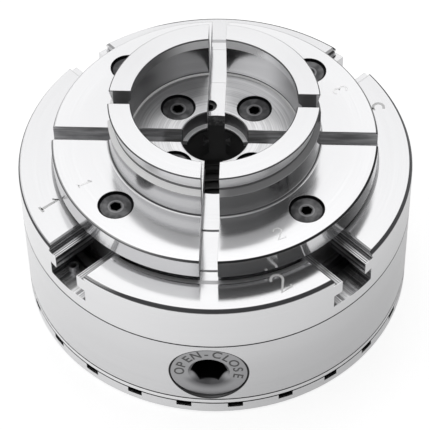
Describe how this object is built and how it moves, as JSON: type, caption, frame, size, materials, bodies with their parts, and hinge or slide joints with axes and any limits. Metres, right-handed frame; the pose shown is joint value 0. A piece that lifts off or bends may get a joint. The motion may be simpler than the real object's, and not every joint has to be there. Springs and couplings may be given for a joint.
{
  "type": "wood lathe chuck",
  "caption": "Geared scroll chuck for a wood lathe: round steel body with a side key socket, index notches and a threaded rear bore, and a split ring of dovetail jaws that slides in T-slots.",
  "frame": {"origin": "centre of the rear face, on the spindle axis", "axes": "+Z along the spindle axis towards the jaws; the key socket faces -Y; jaws 1 to 4 lie at -135, -45, 45 and 135 degrees from +X"},
  "size_m": [0.099, 0.099, 0.0625],
  "materials": {
    "turned_steel": "fine turned satin, lightly polished",
    "ground_steel": "bright turned",
    "insert_steel": "fine turned",
    "jaw_steel": "turned, polished to a soft mirror",
    "slide_steel": "ground",
    "gear_steel": "machined, lightly oiled",
    "pinion_steel": "fine turned, matt",
    "pin_steel": "hardened, plain",
    "black_steel": "black oxide, satin, worn to grey on the heads"
  },
  "bodies": {
    "chuck_body": {"front_body": "turned_steel", "rear_housing": "turned_steel", "gear_cover": "ground_steel", "index_ring": "turned_steel", "spindle_insert": "insert_steel", "case_screws": "black_steel", "case_dowels": "pin_steel", "stop_pins": "pin_steel", "set_screw": "black_steel", "pinion_pin": "pin_steel"},
    "scroll": {"scroll_gear": "gear_steel"},
    "pinion": {"bevel_pinion": "pinion_steel"},
    "jaw_1": {"jaw_slide_1": "slide_steel", "top_jaw_1": "jaw_steel", "jaw_screws_1": "black_steel"},
    "jaw_2": {"jaw_slide_2": "slide_steel", "top_jaw_2": "jaw_steel", "jaw_screws_2": "black_steel"},
    "jaw_3": {"jaw_slide_3": "slide_steel", "top_jaw_3": "jaw_steel", "jaw_screws_3": "black_steel"},
    "jaw_4": {"jaw_slide_4": "slide_steel", "top_jaw_4": "jaw_steel", "jaw_screws_4": "black_steel"}
  },
  "joints": [
    {"name": "scroll_spin", "type": "hinge", "parent": "chuck_body", "child": "scroll", "pos_m": [0, 0, 0.0284], "axis": [0, 0, 1], "range_deg": [-630, 260.9]},
    {"name": "pinion_spin", "type": "hinge", "parent": "chuck_body", "child": "pinion", "pos_m": [0, -0.043, 0.01652], "axis": [0, 1, 0], "range_deg": [-3150, 1305]},
    {"name": "jaw_1_slide", "type": "slide", "parent": "chuck_body", "child": "jaw_1", "axis": [-0.7071, -0.7071, 0], "range_m": [-0.0029, 0.007]},
    {"name": "jaw_2_slide", "type": "slide", "parent": "chuck_body", "child": "jaw_2", "axis": [0.7071, -0.7071, 0], "range_m": [-0.0029, 0.007]},
    {"name": "jaw_3_slide", "type": "slide", "parent": "chuck_body", "child": "jaw_3", "axis": [0.7071, 0.7071, 0], "range_m": [-0.0029, 0.007]},
    {"name": "jaw_4_slide", "type": "slide", "parent": "chuck_body", "child": "jaw_4", "axis": [-0.7071, 0.7071, 0], "range_m": [-0.0029, 0.007]}
  ],
  "couplings": [
    {"joint": "pinion_spin", "follows": "scroll_spin", "ratio": 5},
    {"joint": "jaw_1_slide", "follows": "scroll_spin", "m_per_rad": -0.00063662},
    {"joint": "jaw_2_slide", "follows": "scroll_spin", "m_per_rad": -0.00063662},
    {"joint": "jaw_3_slide", "follows": "scroll_spin", "m_per_rad": -0.00063662},
    {"joint": "jaw_4_slide", "follows": "scroll_spin", "m_per_rad": -0.00063662}
  ]
}
